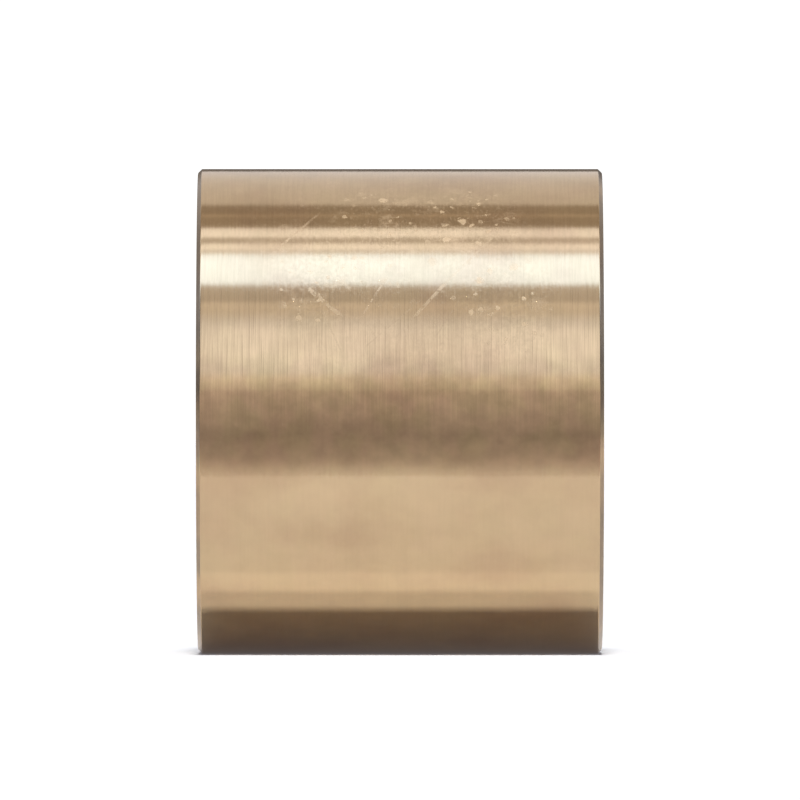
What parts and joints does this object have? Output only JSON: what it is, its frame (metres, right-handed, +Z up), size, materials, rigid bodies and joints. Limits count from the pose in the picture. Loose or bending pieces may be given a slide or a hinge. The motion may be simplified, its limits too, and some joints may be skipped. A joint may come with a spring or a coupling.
{
  "type": "sleeve bushing",
  "caption": "Plain bronze sleeve bushing with chamfered ends and a crossing grease groove in its bore, pressed into a housing to carry a pin.",
  "frame": {"origin": "middle of the bore, on its axis, halfway between the end faces", "axes": "+X along the bore's axis, +Z up with the bushing lying on its side, the groove's crossing at the bottom"},
  "size_m": [0.05, 0.06, 0.06],
  "materials": {
    "bronze": "satin"
  },
  "bodies": {
    "root": {"sleeve": "bronze"}
  },
  "joints": []
}
